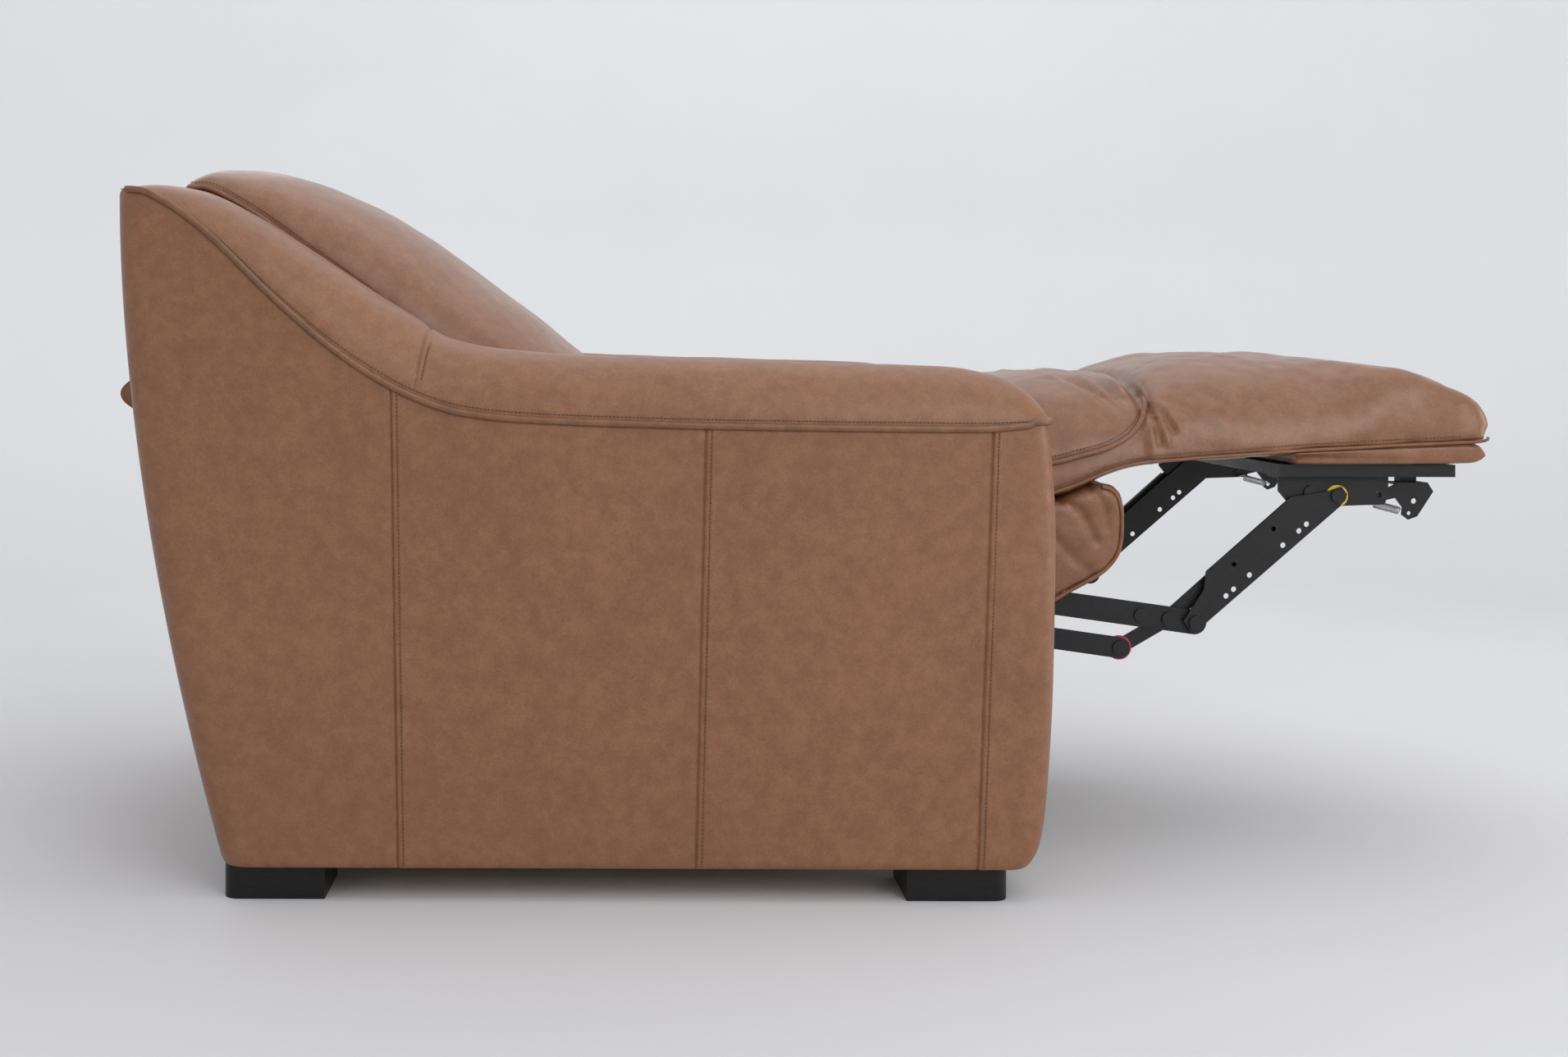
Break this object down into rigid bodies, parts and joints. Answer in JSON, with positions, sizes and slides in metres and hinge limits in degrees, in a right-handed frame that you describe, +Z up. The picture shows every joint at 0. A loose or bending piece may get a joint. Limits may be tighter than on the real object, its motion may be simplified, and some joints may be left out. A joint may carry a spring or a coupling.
{
  "type": "recliner armchair",
  "caption": "Power recliner armchair in brown leather with swooping arms, folding footrest on a steel linkage, tilting back and black block feet.",
  "frame": {"origin": "bottom centre of the reclined chair's bounding box, on the floor", "axes": "+X towards the footrest, +Y towards the sitter's left, +Z up"},
  "size_m": [1.6772, 0.914, 0.8611],
  "materials": {
    "side_leather": "fine pebble grain, soft sheen",
    "seat_leather": "fine pebble grain, smoother and glossier than the sides",
    "foot_lacquer": "satin black lacquer",
    "plywood": "raw plywood",
    "black_cloth": "non-woven cloth",
    "webbing": "woven elastic webbing",
    "black_board": "matt black paint on board",
    "black_steel": "satin black powder coat",
    "zinc": "zinc plated",
    "rivet_steel": "black oxide",
    "yellow_plastic": "moulded",
    "red_plastic": "moulded",
    "black_plastic": "fine texture",
    "button_metal": "satin"
  },
  "bodies": {
    "base": {"arm_cover_left": "side_leather", "arm_cover_right": "side_leather", "arm_frame_left": "plywood", "arm_frame_right": "plywood", "base_cross_tubes": "black_steel", "control_panel": "black_plastic", "drive_motor": "black_plastic", "drive_tube": "black_plastic", "dust_cover": "black_cloth", "foot_front_left": "foot_lacquer", "foot_front_right": "foot_lacquer", "foot_rear_left": "foot_lacquer", "foot_rear_right": "foot_lacquer", "glide_rail_left": "black_steel", "glide_rail_right": "black_steel", "power_inlet": "black_plastic", "rear_cover": "side_leather", "rear_flap": "side_leather", "rear_frame": "plywood"},
    "seat": {"seat_plate_left": "black_steel", "seat_plate_right": "black_steel", "glide_blocks": "black_plastic", "seat_frame": "plywood", "seat_springs": "zinc", "seat_cross_tubes": "black_steel", "push_rod": "zinc", "footrest_gearmotor": "black_plastic", "seat_cushion": "seat_leather", "front_pad": "seat_leather", "chaise_bridge": "seat_leather"},
    "back": {"back_cushion": "seat_leather", "back_frame": "plywood", "back_webbing": "webbing", "back_panel": "black_cloth", "back_hinges": "black_steel"},
    "footrest": {"footrest_pad": "seat_leather", "lower_pad": "seat_leather", "footrest_board": "black_board", "footrest_bracket_left": "black_steel", "footrest_bracket_right": "black_steel", "hook_plates": "black_steel", "footrest_springs": "zinc", "bracket_rivets": "rivet_steel", "yellow_washers": "yellow_plastic"},
    "drive_arms": {"drive_arm_left": "black_steel", "drive_arm_right": "black_steel", "drive_arm_rivets": "rivet_steel", "torque_tube": "black_steel"},
    "guide_arms": {"guide_arm_left": "black_steel", "guide_arm_right": "black_steel", "guide_arm_rivets": "rivet_steel"},
    "channel_links": {"channel_link_left": "black_steel", "channel_link_right": "black_steel"},
    "cranked_links": {"cranked_link_left": "black_steel", "cranked_link_right": "black_steel", "cranked_link_rivets": "rivet_steel", "red_washers": "red_plastic"},
    "open_button_body": {"open_button": "button_metal"},
    "close_button_body": {"close_button": "button_metal"}
  },
  "joints": [
    {"name": "seat_glide", "type": "slide", "parent": "base", "child": "seat", "axis": [-1, 0, 0], "range_m": [0, 0.2]},
    {"name": "back_recline", "type": "hinge", "parent": "seat", "child": "back", "pos_m": [-0.09632, 0, 0.36], "axis": [0, 1, 0], "range_deg": [0, 26.1]},
    {"name": "footrest_fold", "type": "hinge", "parent": "seat", "child": "footrest", "pos_m": [0.41868, 0, 0.48], "axis": [0, 1, 0], "range_deg": [0, 88], "deforming": ["chaise_bridge"]},
    {"name": "drive_arm_pivot", "type": "hinge", "parent": "seat", "child": "drive_arms", "pos_m": [0.24408, 0, 0.3231], "axis": [0, 1, 0], "range_deg": [0, 88]},
    {"name": "guide_arm_pivot", "type": "hinge", "parent": "seat", "child": "guide_arms", "pos_m": [0.18338, 0, 0.2876], "axis": [0, 1, 0], "range_deg": [0, 88]},
    {"name": "channel_link_pivot", "type": "hinge", "parent": "drive_arms", "child": "channel_links", "pos_m": [0.48848, 0, 0.2896], "axis": [0, 1, 0], "range_deg": [-88, 0]},
    {"name": "cranked_link_pivot", "type": "hinge", "parent": "drive_arms", "child": "cranked_links", "pos_m": [0.45698, 0, 0.2932], "axis": [0, 1, 0], "range_deg": [-88, 0]},
    {"name": "open_button_press", "type": "slide", "parent": "base", "child": "open_button_body", "axis": [0, -1, 0], "range_m": [0, 0.0018], "stiffness_N_per_m": 600, "springref_m": -0.0008},
    {"name": "close_button_press", "type": "slide", "parent": "base", "child": "close_button_body", "axis": [0, -1, 0], "range_m": [0, 0.0018], "stiffness_N_per_m": 600, "springref_m": -0.0008}
  ],
  "couplings": [
    {"joint": "back_recline", "follows": "seat_glide", "rad_per_m": 2.269},
    {"joint": "drive_arm_pivot", "follows": "footrest_fold", "ratio": 1},
    {"joint": "guide_arm_pivot", "follows": "footrest_fold", "ratio": 1},
    {"joint": "channel_link_pivot", "follows": "footrest_fold", "ratio": -1},
    {"joint": "cranked_link_pivot", "follows": "footrest_fold", "ratio": -1}
  ]
}
